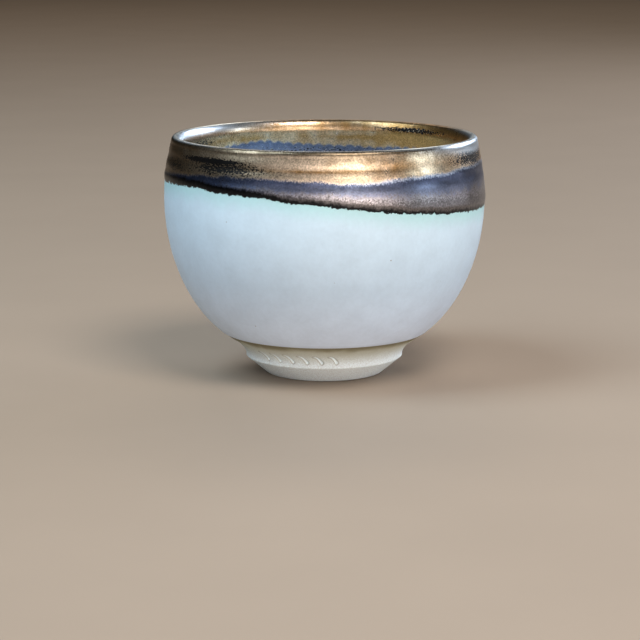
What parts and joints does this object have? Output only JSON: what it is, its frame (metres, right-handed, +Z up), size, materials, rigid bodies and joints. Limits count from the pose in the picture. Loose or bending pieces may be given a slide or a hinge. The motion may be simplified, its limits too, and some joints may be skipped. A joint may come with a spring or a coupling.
{
  "type": "sake cup",
  "caption": "Small round stoneware sake cup on a trimmed foot, white glaze below and a gold and blue lustre glaze around the lip.",
  "frame": {"origin": "centre of the foot's underside", "axes": "+Z up along the axis that the cup was turned on, -Y towards the front with the row of strokes, +X towards the side where the second glaze runs lowest"},
  "size_m": [0.0672, 0.0673, 0.05],
  "materials": {
    "glazed_stoneware": "satin"
  },
  "bodies": {
    "root": {"cup": "glazed_stoneware"}
  },
  "joints": []
}
